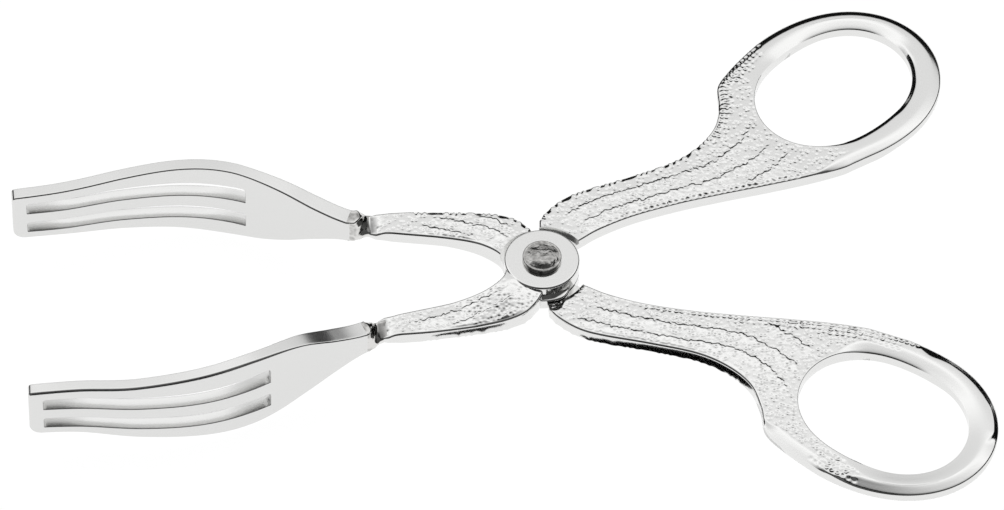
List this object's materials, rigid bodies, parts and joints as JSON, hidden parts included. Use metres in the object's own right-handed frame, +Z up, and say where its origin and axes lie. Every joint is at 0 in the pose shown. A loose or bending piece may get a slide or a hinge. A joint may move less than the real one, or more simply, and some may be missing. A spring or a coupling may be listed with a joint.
{
  "type": "candy tongs",
  "caption": "Scissor-action candy tongs: two crossing cast halves on one rivet, with oval finger loops and slotted, outward-curved blades.",
  "frame": {"origin": "centre of the bounding box's base, on the table under the tongs, which rest open on both blades and both finger loops", "axes": "+X towards the finger loops, -X towards the blade tips, +Y across the tongs towards half A's finger loop, +Z up"},
  "size_m": [0.191, 0.1236, 0.0201],
  "materials": {
    "plated_casting": "silver plate on a cast and stippled blank, polished on the loops and the boss",
    "plated_blade": "polished silver plate on pressed sheet",
    "braze": "plated brazing filler, darkened",
    "rivet_steel": "dull, scratched steel"
  },
  "bodies": {
    "half_a": {"handle_a": "plated_casting", "blade_a": "plated_blade", "neck_a": "braze", "rivet": "rivet_steel"},
    "half_b": {"handle_b": "plated_casting", "blade_b": "plated_blade", "neck_b": "braze"}
  },
  "joints": [
    {"name": "rivet_hinge", "type": "hinge", "parent": "half_a", "child": "half_b", "pos_m": [0.00958, 0, 0.00756], "axis": [0.0719, 0, 0.9974], "range_deg": [-9, 24.8]}
  ]
}
